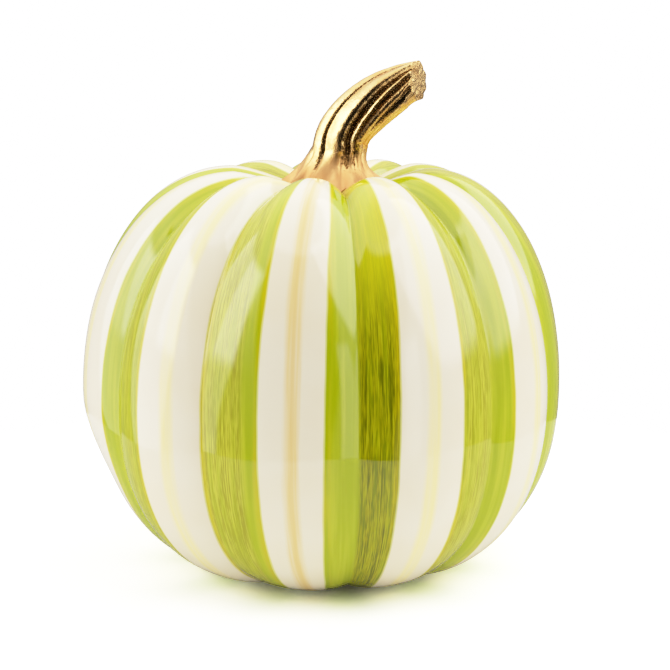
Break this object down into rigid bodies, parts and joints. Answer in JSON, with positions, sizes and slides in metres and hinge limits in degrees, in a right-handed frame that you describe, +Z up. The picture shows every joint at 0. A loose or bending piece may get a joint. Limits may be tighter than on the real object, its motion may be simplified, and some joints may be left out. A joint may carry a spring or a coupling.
{
  "type": "ceramic pumpkin figure",
  "caption": "Hollow glazed ceramic pumpkin with painted stripes, a curved gilded stem bonded into its crown, a plugged base vent and soft bumpers underneath.",
  "frame": {"origin": "middle of the footprint, on the table under the bumpers", "axes": "+Z up through the stem, -Y towards the front, +X towards the side the stem leans to"},
  "size_m": [0.228, 0.2296, 0.2433],
  "materials": {
    "glaze": "white earthenware hand-painted with green and cream stripes under a clear gloss glaze",
    "gold_leaf": "gold leaf over cast ceramic, burnished, slightly wrinkled",
    "epoxy": "cured casting epoxy",
    "plug_rubber": "soft white moulded rubber",
    "bumper_rubber": "clear soft polyurethane"
  },
  "bodies": {
    "root": {"shell": "glaze", "stem": "gold_leaf", "stem_bond": "epoxy", "vent_plug": "plug_rubber", "bumper_1": "bumper_rubber", "bumper_2": "bumper_rubber", "bumper_3": "bumper_rubber", "bumper_4": "bumper_rubber", "bumper_5": "bumper_rubber"}
  },
  "joints": []
}
